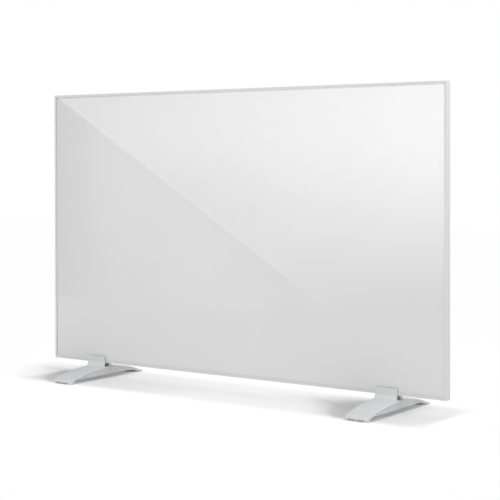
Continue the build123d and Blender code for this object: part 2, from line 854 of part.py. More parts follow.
with BuildPart() as box_base:
    slab(
        box_width, box_height, field_rear, box_rim,
        x=box_x, z=box_z, radius=box_corner_radius,
    )
    slab(
        inner_width, inner_height, box_floor, box_rim,
        x=box_x, z=box_z, mode=Mode.SUBTRACT, radius=inner_radius,
    )
    with BuildSketch(upright(box_rim)):
        with Locations(*boss_points):
            Circle(boss_radius)
    extrude(amount=box_depth - box_wall)
    slab(block_length, block_height, box_floor, block_front, x=block_x, z=block_z)
    boss_bore_end = box_rim - lid_screw_length
    holes(boss_points, lid_screw_shank_radius + thread_clearance, boss_bore_end, box_rim)
    holes(rivet_points, rivet_radius + thread_clearance, field_rear, box_floor)
    holes([(box_x, grommet_z)], grommet_neck_radius + thread_clearance, field_rear, box_floor)
    holes([(stud_x, stud_z)], stud_radius + thread_clearance, field_rear, box_floor)
    with BuildSketch(switch_plane):
        Rectangle(switch_body_width + 2 * switch_fit, switch_body_length + 2 * switch_fit)
    extrude(amount=-box_wall, mode=Mode.SUBTRACT)
    with BuildSketch(gland_plane):
        Circle(gland_thread_radius + switch_fit)
    extrude(amount=-box_wall, mode=Mode.SUBTRACT)
finish(box_base.part, "box_base")

lid_rear = box_rim + lid_thickness
rim_gap = 2 * lid_rim_gap
rim_wall = 2 * lid_rim_thickness
with BuildPart() as box_lid:
    slab(
        box_width, box_height, box_rim, lid_rear, x=box_x, z=box_z, radius=box_corner_radius
    )
    fillet(box_lid.faces().sort_by(Axis.Y)[-1].edges(), lid_edge_radius)
    slab(
        inner_width - rim_gap, inner_height - rim_gap, box_rim - lid_rim_depth, box_rim,
        x=box_x, z=box_z, radius=inner_radius - lid_rim_gap,
    )
    slab(
        inner_width - rim_gap - rim_wall, inner_height - rim_gap - rim_wall,
        box_rim - lid_rim_depth, box_rim,
        x=box_x, z=box_z, radius=inner_radius - lid_rim_gap - lid_rim_thickness,
        mode=Mode.SUBTRACT,
    )
    holes(boss_points, boss_radius + lid_rim_gap, box_rim - lid_rim_depth, box_rim)
    holes(boss_points, lid_screw_shank_radius + shank_clearance, box_rim, lid_rear)
    sink_seat = lid_rear - lid_screw_sink
    holes(boss_points, lid_screw_head_radius + shank_clearance, sink_seat, lid_rear)
finish(box_lid.part, "box_lid")

screws(
    "lid_screws", upright(sink_seat), boss_points, lid_screw_head_radius, lid_screw_head_height,
    lid_screw_shank_radius, lid_screw_length - thread_clearance,
)

with BuildPart() as box_rivets:
    with BuildSketch(upright(box_floor)):
        with Locations(*rivet_points):
            Circle(rivet_head_radius)
    extrude(amount=-rivet_head_height)
    with BuildSketch(upright(box_floor)):
        with Locations(*rivet_points):
            Circle(rivet_radius)
    extrude(amount=box_floor - field_inner)
    with BuildSketch(upright(field_inner)):
        with Locations(*rivet_points):
            Circle(rivet_tail_radius)
    extrude(amount=rivet_tail_height)
finish(box_rivets.part, "box_rivets")

with BuildPart() as lead_grommet:
    for radius, front, rear in (
        (grommet_flange_radius, field_inner - grommet_flange_thickness, field_inner),
        (grommet_neck_radius, field_inner, box_floor),
        (grommet_flange_radius, box_floor, box_floor + grommet_flange_thickness),
    ):
        with BuildSketch(upright(rear)):
            with Locations((box_x, grommet_z)):
                Circle(radius)
        extrude(amount=rear - front)
    holes(
        [(box_x, grommet_z)], grommet_bore_radius, field_inner - grommet_flange_thickness,
        box_floor + grommet_flange_thickness,
    )
finish(lead_grommet.part, "lead_grommet")

# Cable gland: body, seal, cap and locknut on one axis square to the box's lower wall
with BuildPart() as gland_body:
    with BuildSketch(gland_plane):
        RegularPolygon(gland_flange_radius, hex_sides, major_radius=False)
    extrude(amount=gland_flange_height)
    with BuildSketch(gland_plane.offset(gland_flange_height)):
        Circle(gland_neck_radius)
    extrude(amount=gland_neck_length)
    with BuildSketch(gland_plane):
        Circle(gland_thread_radius)
    extrude(amount=-gland_thread_length)
    with BuildSketch(gland_plane.offset(-gland_thread_length)):
        Circle(gland_bore_radius)
    extrude(
        amount=gland_thread_length + gland_flange_height + gland_neck_length, mode=Mode.SUBTRACT
    )
    neck_end = gland_flange_height + gland_neck_length
    with BuildSketch(gland_plane.offset(neck_end)):
        Circle(gland_socket_radius)
    extrude(amount=-gland_socket_depth, mode=Mode.SUBTRACT)
finish(gland_body.part, "gland_body")

with BuildPart() as gland_seal:
    with BuildSketch(gland_plane.offset(neck_end)):
        Circle(gland_socket_radius - seal_radius_clearance)
        Circle(seal_bore_radius, mode=Mode.SUBTRACT)
    extrude(amount=-gland_socket_depth)
finish(gland_seal.part, "gland_seal")

with BuildPart() as gland_cap:
    cap_start = gland_flange_height + thread_clearance
    with BuildSketch(gland_plane.offset(cap_start)):
        Circle(gland_cap_radius)
    extrude(amount=gland_cap_height)
    fillet(gland_cap.faces().sort_by(Axis.Z)[0].edges(), gland_cap_edge)
    with BuildSketch(gland_plane.offset(cap_start)):
        Circle(gland_neck_radius + thread_clearance)
    extrude(amount=neck_end - cap_start, mode=Mode.SUBTRACT)
    with BuildSketch(gland_plane.offset(neck_end)):
        Circle(gland_bore_radius)
    extrude(amount=gland_cap_height, mode=Mode.SUBTRACT)
finish(gland_cap.part, "gland_cap")

with BuildPart() as gland_locknut:
    with BuildSketch(gland_plane.offset(-box_wall)):
        RegularPolygon(locknut_radius, hex_sides, major_radius=False)
        Circle(gland_thread_radius + thread_clearance, mode=Mode.SUBTRACT)
    extrude(amount=-locknut_height)
finish(gland_locknut.part, "gland_locknut")

# Terminal block: three ways, each a brass clamp with two screws
ways = [block_x + n * block_pitch for n in (-1, 0, 1)]
screw_ys = [block_z - terminal_screw_pitch / 2, block_z + terminal_screw_pitch / 2]
terminal_points = [(x, z) for x in ways for z in screw_ys]
block_rear = block_front + block_depth
block_top = block_z + block_height / 2
clamp_end_z = block_z + clamp_length / 2
along_ways = Plane.XY.offset(block_z)
with BuildPart() as terminal_block:
    slab(block_length, block_height, block_front, block_rear, x=block_x, z=block_z)
    with BuildSketch(along_ways):
        with Locations(*[(x, switch_y) for x in ways]):
            Circle(clamp_radius + thread_clearance)
    extrude(amount=block_height / 2, both=True, mode=Mode.SUBTRACT)
    holes(terminal_points, terminal_screw_head_radius + thread_clearance, switch_y, block_rear)
finish(terminal_block.part, "terminal_block")

with BuildPart() as terminal_clamps:
    with BuildSketch(along_ways):
        with Locations(*[(x, switch_y) for x in ways]):
            Circle(clamp_radius)
            Circle(clamp_bore_radius, mode=Mode.SUBTRACT)
    extrude(amount=clamp_length / 2, both=True)
    holes(
        terminal_points, terminal_screw_radius + thread_clearance, switch_y,
        switch_y + 2 * clamp_radius,
    )
finish(terminal_clamps.part, "terminal_clamps")

screws(
    "terminal_screws", upright(switch_y + clamp_radius + terminal_screw_head_height),
    terminal_points, terminal_screw_head_radius, terminal_screw_head_height,
    terminal_screw_radius, terminal_screw_head_height + clamp_radius - wire_radius - pocket_gap,
)

# Earth stud through the box floor and the steel cover, with its nut and ring terminal
ring_front = box_floor
nut_front_y = ring_front + ring_thickness
with BuildPart() as earth_stud:
    with BuildSketch(upright(field_inner)):
        with Locations((stud_x, stud_z)):
            Circle(stud_head_radius)
    extrude(amount=stud_head_height)
    with BuildSketch(upright(field_inner)):
        with Locations((stud_x, stud_z)):
            Circle(stud_radius)
    extrude(amount=-stud_length)
finish(earth_stud.part, "earth_stud")

with BuildPart() as ring_terminal:
    with BuildSketch(upright(nut_front_y)):
        with Locations((stud_x, stud_z)):
            Circle(ring_radius)
        with Locations((stud_x, stud_z - ring_radius - ring_barrel_length / 2)):
            Rectangle(ring_barrel_width, ring_barrel_length + ring_radius)
        with Locations((stud_x, stud_z)):
            Circle(stud_radius + thread_clearance, mode=Mode.SUBTRACT)
    extrude(amount=ring_thickness)
    barrel_z = stud_z - ring_radius - ring_barrel_length / 2
    slab(
        ring_barrel_width, ring_barrel_length, ring_front, ring_front + ring_barrel_height,
        x=stud_x, z=barrel_z - ring_radius / 2,
    )
finish(ring_terminal.part, "ring_terminal")

with BuildPart() as earth_nut:
    with BuildSketch(upright(nut_front_y + stud_nut_height)):
        with Locations((stud_x, stud_z)):
            RegularPolygon(stud_nut_radius, hex_sides, major_radius=False)
            Circle(stud_radius + thread_clearance, mode=Mode.SUBTRACT)
    extrude(amount=stud_nut_height)
finish(earth_nut.part, "earth_nut")

tilt_x = box_x + tilt_offset
tilt_z = box_z - tilt_drop
with BuildPart() as tilt_switch:
    slab(tilt_width, tilt_height, box_floor, box_floor + tilt_depth, x=tilt_x, z=tilt_z)
    fillet(tilt_switch.faces().sort_by(Axis.Y)[-1].edges(), rim_radius)
finish(tilt_switch.part, "tilt_switch")

with BuildPart() as thermal_cutout:
    slab(
        cutout_length, cutout_height, foil_rear, foil_rear + cutout_thickness,
        x=cutout_x, z=live_z,
    )
finish(thermal_cutout.part, "thermal_cutout")

# ---- Rocker switch ----

pivot = Vector(wall_x - rocker_pivot_depth, switch_y, box_z)
window_length = 2 * (rocker_radius + rocker_end_gap)
window_width = 2 * (rocker_half_width + rocker_side_gap)
with BuildPart() as switch_housing:
    with BuildSketch(switch_plane):
        RectangleRounded(switch_bezel_width, switch_bezel_length, switch_bezel_radius)
    extrude(amount=switch_bezel_thickness)
    with BuildSketch(switch_plane):
        Rectangle(switch_body_width, switch_body_length)
    extrude(amount=-switch_body_depth)
    with BuildSketch(switch_plane.offset(switch_bezel_thickness)):
        Rectangle(window_width, window_length)
    extrude(amount=-switch_cavity_depth - switch_bezel_thickness, mode=Mode.SUBTRACT)
    with BuildSketch(Plane(origin=pivot, x_dir=(1, 0, 0), z_dir=(0, -1, 0))):
        Circle(trunnion_radius + trunnion_clearance)
    extrude(amount=switch_body_width / 2, both=True, mode=Mode.SUBTRACT)
finish(switch_housing.part, "switch_housing")

tilt = math.radians(rocker_tilt)
rocker_plane = Plane(
    origin=pivot, x_dir=(math.cos(tilt), 0, -math.sin(tilt)), z_dir=(0, -1, 0)
)
crest_slope = (rocker_crest - rocker_waist) / rocker_crest_at
crest_edge = rocker_waist + crest_slope * rocker_radius
with BuildPart() as switch_rocker:
    with BuildSketch(rocker_plane):
        Circle(rocker_radius)
        with BuildLine():
            Polyline(
                (-rocker_belly, -rocker_radius), (-rocker_belly, rocker_radius),
                (crest_edge, rocker_radius), (rocker_waist, 0), (crest_edge, -rocker_radius),
                close=True,
            )
        make_face(mode=Mode.INTERSECT)
    extrude(amount=rocker_half_width, both=True)
    with BuildSketch(rocker_plane):
        Circle(trunnion_radius)
    extrude(amount=rocker_half_width + rocker_side_gap + trunnion_reach, both=True)
finish(switch_rocker.part, "switch_rocker")

body_end = wall_x - switch_body_depth
with BuildPart() as switch_blades:
    for lift in (-blade_spread, blade_spread):
        with BuildSketch(Plane.YZ.offset(body_end)):
            with Locations((switch_y, box_z + lift)):
                Rectangle(blade_thickness, blade_width)
        extrude(amount=-blade_length)
finish(switch_blades.part, "switch_blades")

# ---- Wires, each straight runs joined by tangent arcs ----

blade_end = body_end - blade_length
wire_start_z = clamp_end_z - wire_entry
live_x = box_x + wire_spread_x
neutral_x = box_x - wire_spread_x
tilt_wire_y = box_floor + switch_wire_depth
feed_z = box_z + blade_spread
return_z = box_z - blade_spread
barrel_bottom_z = barrel_z - ring_radius / 2 - ring_barrel_length / 2
barrel_y = ring_front + ring_barrel_height / 2
earth_x = ways[0]
neutral_way_x = ways[1]
live_way_x = ways[2]
crimp_face = bar_x - crimp_width / 2
earth_turn_z = (block_top + barrel_bottom_z) / 2
routes = {
    "live_wire": (
        [
            (live_way_x, switch_y, wire_start_z),
            (live_way_x, switch_y, feed_z),
            (blade_end, switch_y, feed_z),
        ],
        wire_bend,
    ),
    "switched_wire": (
        [(blade_end, switch_y, return_z), (tilt_x + tilt_width / 2, switch_y, return_z)],
        0.0,
    ),
    "heater_wire": (
        [
            (live_x, tilt_wire_y, tilt_z + tilt_height / 2),
            (live_x, tilt_wire_y, live_z),
            (live_x, lead_y, live_z),
            (cutout_x + cutout_length / 2, lead_y, live_z),
        ],
        wire_bend,
    ),
    "cutout_wire": (
        [(cutout_x - cutout_length / 2, lead_y, live_z), (-crimp_face, lead_y, live_z)],
        0.0,
    ),
    "neutral_wire": (
        [
            (neutral_way_x, switch_y, wire_start_z),
            (neutral_way_x, switch_y, neutral_z),
            (neutral_x, switch_y, neutral_z),
            (neutral_x, lead_y, neutral_z),
            (crimp_face, lead_y, neutral_z),
        ],
        wire_bend,
    ),
    "earth_wire": (
        [
            (earth_x, switch_y, wire_start_z),
            (earth_x, switch_y, earth_turn_z),
            (earth_x, barrel_y, earth_turn_z),
            (earth_x, barrel_y, barrel_bottom_z),
        ],
        earth_wire_bend,
    ),
}
for label, (points, bend) in routes.items():
    with BuildPart() as wire:
        with BuildLine() as path:
            if bend > 0:
                FilletPolyline(*points, radius=bend)
            else:
                Line(*points)
        start = Vector(*points[0])
        heading = Vector(*points[1]) - start
        with BuildSketch(Plane(origin=start, z_dir=heading)):
            Circle(wire_radius)
        sweep(path=path.wire())
    finish(wire.part, label)
    length = path.wire().length
    section_area = math.pi * wire_radius**2
    fill = wire.part.volume / (section_area * length)
    print(label, "length", round(length, 1), "bend radius", bend, "volume ratio", round(fill, 4))
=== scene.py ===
import json
import math

import bmesh
import bpy
import numpy as np
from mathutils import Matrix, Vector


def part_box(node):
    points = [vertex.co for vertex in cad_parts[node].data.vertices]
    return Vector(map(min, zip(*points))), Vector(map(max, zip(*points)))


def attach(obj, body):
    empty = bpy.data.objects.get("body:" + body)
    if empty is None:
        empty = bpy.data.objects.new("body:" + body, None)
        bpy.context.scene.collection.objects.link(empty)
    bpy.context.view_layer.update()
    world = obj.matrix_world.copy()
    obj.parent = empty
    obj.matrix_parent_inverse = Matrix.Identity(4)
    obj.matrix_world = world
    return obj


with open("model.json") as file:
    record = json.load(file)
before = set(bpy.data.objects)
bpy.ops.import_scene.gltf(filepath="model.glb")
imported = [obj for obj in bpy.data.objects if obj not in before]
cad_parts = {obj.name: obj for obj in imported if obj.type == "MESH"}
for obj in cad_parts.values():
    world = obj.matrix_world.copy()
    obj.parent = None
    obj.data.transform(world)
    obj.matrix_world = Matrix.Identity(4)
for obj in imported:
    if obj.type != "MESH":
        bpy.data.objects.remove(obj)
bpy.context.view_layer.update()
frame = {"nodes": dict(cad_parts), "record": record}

scene = bpy.context.scene


# the camera stands where the photograph was taken from
cameraSetup = {
    "place": (1.67456, -2.29495, 0.48879),
    "heading": 35.391,   # degrees to the left of +Y
    "dip": 0.785,        # degrees below the horizon
    "roll": 0.113,
    "lens": 98.1,
    "sensor": 36.0,
    "shiftUp": -0.1453,
}


def addCamera(setup):
    data = bpy.data.cameras.new("camera")
    data.lens = setup["lens"]
    data.sensor_width = setup["sensor"]
    data.shift_y = setup["shiftUp"]
    camera = bpy.data.objects.new("camera", data)
    camera.location = setup["place"]
    camera.rotation_euler = (
        math.radians(90 - setup["dip"]),
        math.radians(setup["roll"]),
        math.radians(setup["heading"]),
    )
    scene.collection.objects.link(camera)
    scene.camera = camera
    return camera


camera = addCamera(cameraSetup)
scene.view_settings.view_transform = "Standard"
print("camera placed")


# small helpers for node trees: an input takes a value, or a link where it is given a socket
def put(tree, kind, inputs=None, **settings):
    node = tree.nodes.new(kind)
    for key, value in settings.items():
        setattr(node, key, value)
    for key, value in (inputs or {}).items():
        if isinstance(value, bpy.types.NodeSocket):
            tree.links.new(value, node.inputs[key])
        else:
            node.inputs[key].default_value = value
    return node


def mathNode(tree, operation, first, second=0.0):
    return put(tree, "ShaderNodeMath", {0: first, 1: second}, operation=operation).outputs[0]


def spreadRange(tree, value, fromLow, fromHigh, toLow, toHigh):
    node = put(tree, "ShaderNodeMapRange", {
        "Value": value, "From Min": fromLow, "From Max": fromHigh, "To Min": toLow, "To Max": toHigh,
    })
    return node.outputs["Result"]


def blendColour(tree, factor, first, second):
    return put(tree, "ShaderNodeMix", {0: factor, 6: first, 7: second}, data_type="RGBA").outputs[2]


def newGroup(name, inputs, outputs):
    group = bpy.data.node_groups.new(name, "ShaderNodeTree")
    for label, kind, value in inputs:
        socket = group.interface.new_socket(label, in_out="INPUT", socket_type=kind)
        if value is not None:
            socket.default_value = value
    for label, kind in outputs:
        group.interface.new_socket(label, in_out="OUTPUT", socket_type=kind)
    start = group.nodes.new("NodeGroupInput").outputs
    end = group.nodes.new("NodeGroupOutput").inputs
    return group, start, end


def useGroup(tree, group, **values):
    return put(tree, "ShaderNodeGroup", values, node_tree=group).outputs


# effects that several finishes share
def makeGrain():
    # fine height and slow tone, both from noise on the piece's own place
    group, start, end = newGroup("fineGrain", [
        ("Place", "NodeSocketVector", None),
        ("Stretch", "NodeSocketVector", (1.0, 1.0, 1.0)),
        ("Fine", "NodeSocketFloat", 1500.0),
        ("Slow", "NodeSocketFloat", 9.0),
    ], [("Height", "NodeSocketFloat"), ("Tone", "NodeSocketFloat")])
    place = put(group, "ShaderNodeVectorMath", {0: start["Place"], 1: start["Stretch"]},
                operation="MULTIPLY").outputs[0]
    fine = put(group, "ShaderNodeTexNoise", {"Vector": place, "Scale": start["Fine"], "Detail": 3.0})
    slow = put(group, "ShaderNodeTexNoise", {"Vector": place, "Scale": start["Slow"], "Detail": 4.0,
                                             "Roughness": 0.6})
    group.links.new(fine.outputs[0], end["Height"])
    group.links.new(spreadRange(group, slow.outputs[0], 0.3, 0.7, 0.0, 1.0), end["Tone"])
    return group


def makeEdgeWearAndHighlight():
    # a mask where the surface turns sharply, broken up by noise: worn edges and painted edge highlights
    group, start, end = newGroup("edgeWearAndHighlight", [
        ("Place", "NodeSocketVector", None),
        ("Reach", "NodeSocketFloat", 0.0008),
        ("Patches", "NodeSocketFloat", 60.0),
    ], [("Mask", "NodeSocketFloat")])
    bevel = put(group, "ShaderNodeBevel", {"Radius": start["Reach"]}, samples=4)
    flat = put(group, "ShaderNodeNewGeometry").outputs["True Normal"]
    turn = put(group, "ShaderNodeVectorMath", {0: bevel.outputs[0], 1: flat},
               operation="DOT_PRODUCT").outputs["Value"]
    edge = spreadRange(group, turn, 0.98, 0.80, 0.0, 1.0)
    noise = put(group, "ShaderNodeTexNoise", {"Vector": start["Place"], "Scale": start["Patches"],
                                              "Detail": 5.0}).outputs[0]
    patches = spreadRange(group, noise, 0.42, 0.62, 0.25, 1.0)
    group.links.new(mathNode(group, "MULTIPLY", edge, patches), end["Mask"])
    return group


def makeDust():
    # a mask of settled dust: faces that look up, in soft drifts with a few specks
    group, start, end = newGroup("settledDust", [
        ("Place", "NodeSocketVector", None),
        ("Drift", "NodeSocketFloat", 14.0),
        ("Specks", "NodeSocketFloat", 240.0),
    ], [("Mask", "NodeSocketFloat")])
    facing = put(group, "ShaderNodeSeparateXYZ", {
        0: put(group, "ShaderNodeNewGeometry").outputs["Normal"]}).outputs[2]
    upward = spreadRange(group, facing, 0.35, 0.95, 0.0, 1.0)
    drift = put(group, "ShaderNodeTexNoise", {"Vector": start["Place"], "Scale": start["Drift"],
                                              "Detail": 6.0}).outputs[0]
    cells = put(group, "ShaderNodeTexVoronoi", {"Vector": start["Place"], "Scale": start["Specks"]})
    specks = spreadRange(group, cells.outputs["Distance"], 0.06, 0.14, 1.0, 0.0)
    soft = spreadRange(group, drift, 0.40, 0.75, 0.0, 0.8)
    both = mathNode(group, "MAXIMUM", soft, mathNode(group, "MULTIPLY", specks, soft))
    group.links.new(mathNode(group, "MULTIPLY", upward, both), end["Mask"])
    return group


grain = makeGrain()
edgeWearAndHighlight = makeEdgeWearAndHighlight()
dust = makeDust()


def startMaterial(name, roughness, metallic=0.0, ior=1.5):
    material = bpy.data.materials.new(name)
    material.use_nodes = True
    tree = material.node_tree
    shader = tree.nodes["Principled BSDF"]
    shader.inputs["Roughness"].default_value = roughness
    shader.inputs["Metallic"].default_value = metallic
    shader.inputs["IOR"].default_value = ior
    place = put(tree, "ShaderNodeTexCoord").outputs["Object"]
    return material, tree, shader, place


def shade(colour, factor):
    return tuple(c * factor for c in colour[:3]) + (1.0,)


def addBump(tree, shader, height, distance, strength=1.0):
    bump = put(tree, "ShaderNodeBump", {"Height": height, "Distance": distance, "Strength": strength})
    tree.links.new(bump.outputs[0], shader.inputs["Normal"])


dustSetup = {"colour": (0.66, 0.65, 0.63, 1.0), "roughness": 0.3}


# every solid finish: a colour that drifts slowly, a grain, paler edges that are partly wear and partly
# painted highlight, dust on top
def solidFinish(name, colour, roughness, metallic=0.0, ior=1.5, stretch=(1, 1, 1), fine=1500.0, slow=9.0,
                drift=0.05, depth=0.00001, wornAndHighlightColour=None, wearAndHighlight=0.0, wearAndHighlightReach=0.0008, dustAmount=0.0,
                roughSpread=0.06):
    material, tree, shader, place = startMaterial(name, roughness, metallic, ior)
    field = useGroup(tree, grain, Place=place, Stretch=stretch, Fine=fine, Slow=slow)
    tone = blendColour(tree, field["Tone"], shade(colour, 1 - drift), shade(colour, 1 + drift))
    # the paler edge colour is worn paint and also a painted highlight along rims and creases
    if wearAndHighlight:
        mask = useGroup(tree, edgeWearAndHighlight, Place=place, Reach=wearAndHighlightReach)["Mask"]
        tone = blendColour(tree, mathNode(tree, "MULTIPLY", mask, wearAndHighlight), tone, wornAndHighlightColour + (1.0,))
    rough = spreadRange(tree, field["Height"], 0.3, 0.7, roughness - roughSpread, roughness + roughSpread)
    if dustAmount:
        settled = mathNode(tree, "MULTIPLY", useGroup(tree, dust, Place=place)["Mask"], dustAmount)
        tone = blendColour(tree, settled, tone, dustSetup["colour"])
        rough = mathNode(tree, "ADD", rough, mathNode(tree, "MULTIPLY", settled, dustSetup["roughness"]))
    tree.links.new(tone, shader.inputs["Base Color"])
    tree.links.new(rough, shader.inputs["Roughness"])
    addBump(tree, shader, field["Height"], depth)
    return material


# white painted glass: the paint is the colour, the clear glass over it the gloss
glassSetup = {
    "ior": 1.52,
    "paint": ((0.700, 0.700, 0.704, 1.0), (0.718, 0.718, 0.721, 1.0)),
    "roughness": (0.02, 0.035),
    "waviness": 0.00002,
}


def whiteGlass(setup):
    material, tree, shader, place = startMaterial("whiteGlass", setup["roughness"][1], ior=setup["ior"])
    field = useGroup(tree, grain, Place=place, Fine=900.0, Slow=3.0)
    tree.links.new(blendColour(tree, field["Tone"], *setup["paint"]), shader.inputs["Base Color"])
    rough = spreadRange(tree, field["Tone"], 0.0, 1.0, *setup["roughness"])
    tree.links.new(rough, shader.inputs["Roughness"])
    addBump(tree, shader, field["Tone"], setup["waviness"], 0.4)
    return material


# green insulation with yellow bands
sheathSetup = {"green": (0.10, 0.42, 0.10), "yellow": (0.80, 0.70, 0.08), "bands": 160.0}


def stripedSheath(setup):
    material = solidFinish("earthSheath", setup["green"], 0.4, fine=2500.0)
    tree = material.node_tree
    shader = tree.nodes["Principled BSDF"]
    place = put(tree, "ShaderNodeTexCoord").outputs["Object"]
    bands = put(tree, "ShaderNodeTexWave", {"Vector": place, "Scale": setup["bands"]})
    stripe = spreadRange(tree, bands.outputs[1], 0.45, 0.55, 0.0, 1.0)
    tone = blendColour(tree, stripe, setup["green"] + (1.0,), setup["yellow"] + (1.0,))
    tree.links.new(tone, shader.inputs["Base Color"])
    return material


# one finish for each material slot of the record; colours are plain red, green and blue
finishes = {
    "frame_aluminium": solidFinish(
        "satinRail", (0.66, 0.665, 0.675), 0.46, metallic=0.0, stretch=(0.05, 1, 1), fine=2600.0,
        drift=0.02, depth=0.000006, wornAndHighlightColour=(0.82, 0.82, 0.83), wearAndHighlight=0.3, dustAmount=0.06),
    "white_glass": whiteGlass(glassSetup),
    "foot_plastic": solidFinish(
        "footPlastic", (0.645, 0.655, 0.668), 0.44, fine=1400.0, slow=30.0, drift=0.03, depth=0.00002,
        wornAndHighlightColour=(0.74, 0.745, 0.75), wearAndHighlight=0.45, wearAndHighlightReach=0.0012, dustAmount=0.12),
    "black_rubber": solidFinish(
        "blackRubber", (0.055, 0.055, 0.056), 0.78, fine=1800.0, slow=60.0, drift=0.2, depth=0.00003,
        wornAndHighlightColour=(0.10, 0.10, 0.10), wearAndHighlight=0.4, dustAmount=0.1),
    "steel_sheet": solidFinish(
        "powderCoat", (0.70, 0.705, 0.71), 0.52, fine=700.0, slow=6.0, drift=0.02, depth=0.00005,
        wornAndHighlightColour=(0.80, 0.80, 0.80), wearAndHighlight=0.3, wearAndHighlightReach=0.001, dustAmount=0.10),
    "zinc_screws": solidFinish(
        "zincPlate", (0.55, 0.56, 0.58), 0.34, metallic=1.0, fine=2400.0, slow=120.0, drift=0.12,
        depth=0.00001, wornAndHighlightColour=(0.78, 0.77, 0.74), wearAndHighlight=0.6, wearAndHighlightReach=0.0003),
    "die_cast_keys": solidFinish(
        "dieCast", (0.50, 0.50, 0.50), 0.55, metallic=1.0, fine=900.0, slow=60.0, drift=0.1,
        depth=0.00003, wornAndHighlightColour=(0.70, 0.70, 0.70), wearAndHighlight=0.5),
    "box_plastic": solidFinish(
        "boxPlastic", (0.70, 0.70, 0.685), 0.48, fine=1100.0, slow=25.0, drift=0.025, depth=0.00004,
        wornAndHighlightColour=(0.80, 0.80, 0.79), wearAndHighlight=0.3, wearAndHighlightReach=0.001, dustAmount=0.15),
    "black_plastic": solidFinish(
        "blackPlastic", (0.022, 0.022, 0.024), 0.36, fine=2200.0, slow=80.0, drift=0.15,
        depth=0.00002, wornAndHighlightColour=(0.12, 0.12, 0.12), wearAndHighlight=0.35, wearAndHighlightReach=0.0005, dustAmount=0.05),
    "brass_parts": solidFinish(
        "brass", (0.72, 0.55, 0.25), 0.32, metallic=1.0, stretch=(1, 1, 0.2), fine=2600.0, slow=150.0,
        drift=0.15, wornAndHighlightColour=(0.88, 0.74, 0.42), wearAndHighlight=0.6, wearAndHighlightReach=0.0003),
    "copper_bars": solidFinish(
        "copper", (0.72, 0.40, 0.26), 0.36, metallic=1.0, stretch=(1, 1, 0.1), fine=2000.0, slow=40.0,
        drift=0.18, wornAndHighlightColour=(0.86, 0.56, 0.40), wearAndHighlight=0.5, wearAndHighlightReach=0.0003),
    "amber_film": solidFinish(
        "amberFilm", (0.26, 0.15, 0.045), 0.18, fine=400.0, slow=8.0, drift=0.12, depth=0.00001),
    "foil": solidFinish(
        "foil", (0.86, 0.86, 0.87), 0.2, metallic=1.0, fine=160.0, slow=20.0, drift=0.05, depth=0.0004),
    "fibre_board": solidFinish(
        "fibreBoard", (0.70, 0.64, 0.45), 0.9, stretch=(1, 1, 0.3), fine=900.0, slow=25.0, drift=0.14,
        depth=0.0003),
    "grey_plastic": solidFinish(
        "greyPlastic", (0.36, 0.37, 0.38), 0.5, fine=1300.0, slow=60.0, drift=0.05, depth=0.00003,
        wornAndHighlightColour=(0.5, 0.5, 0.5), wearAndHighlight=0.35, wearAndHighlightReach=0.0005, dustAmount=0.08),
    "brown_sheath": solidFinish("brownSheath", (0.20, 0.085, 0.035), 0.4, fine=2500.0, slow=80.0),
    "blue_sheath": solidFinish("blueSheath", (0.05, 0.16, 0.46), 0.4, fine=2500.0, slow=80.0),
    "green_yellow_sheath": stripedSheath(sheathSetup),
}
print("finishes made:", len(finishes))


# joined triangles, smooth across gentle turns and sharp across edges
def smoothByAngle(limit=0.6, joinWithin=0.000002):
    group = bpy.data.node_groups.new("smoothByAngle", "GeometryNodeTree")
    group.interface.new_socket("Geometry", in_out="INPUT", socket_type="NodeSocketGeometry")
    group.interface.new_socket("Geometry", in_out="OUTPUT", socket_type="NodeSocketGeometry")
    start = group.nodes.new("NodeGroupInput").outputs[0]
    end = group.nodes.new("NodeGroupOutput").inputs[0]
    merged = put(group, "GeometryNodeMergeByDistance", {"Geometry": start, "Distance": joinWithin})
    angle = put(group, "GeometryNodeInputMeshEdgeAngle").outputs["Unsigned Angle"]
    sharp = put(group, "FunctionNodeCompare", {0: angle, 1: limit}, operation="GREATER_THAN").outputs[0]
    allSmooth = put(group, "GeometryNodeSetShadeSmooth", {
        "Geometry": merged.outputs[0], "Shade Smooth": True}, domain="FACE")
    edges = put(group, "GeometryNodeSetShadeSmooth", {
        "Geometry": allSmooth.outputs[0], "Selection": sharp, "Shade Smooth": False}, domain="EDGE")
    group.links.new(edges.outputs[0], end)
    return group


smoother = smoothByAngle()
slotOf = {part["node"]: part["material_slot"] for part in frame["record"]["subparts"]}
for name, node in frame["nodes"].items():
    node.data.materials.clear()
    node.data.materials.append(finishes[slotOf[name]])
    modifier = node.modifiers.new("smooth", "NODES")
    modifier.node_group = smoother
print("nodes dressed:", len(frame["nodes"]))


# the painted bar and ring on the rocker's two facets; lengths in metres
markSetup = {
    "crown": 0.00010,    # how far the paint stands over its facet
    "stroke": 0.0007,
    "barMiddle": (0.32390, 0.0253, 0.12652),
    "barOutward": (0.9068, 0.0, -0.4215),
    "barLength": 0.0034,
    "ringMiddle": (0.32274, 0.0253, 0.11996),
    "ringOutward": (0.9963, 0.0, 0.0860),
    "ringRadius": 0.0014,
    "ringSteps": 48,
    "barSteps": 25,
    "sectionSteps": 12,
    "paint": (0.80, 0.80, 0.79),
}


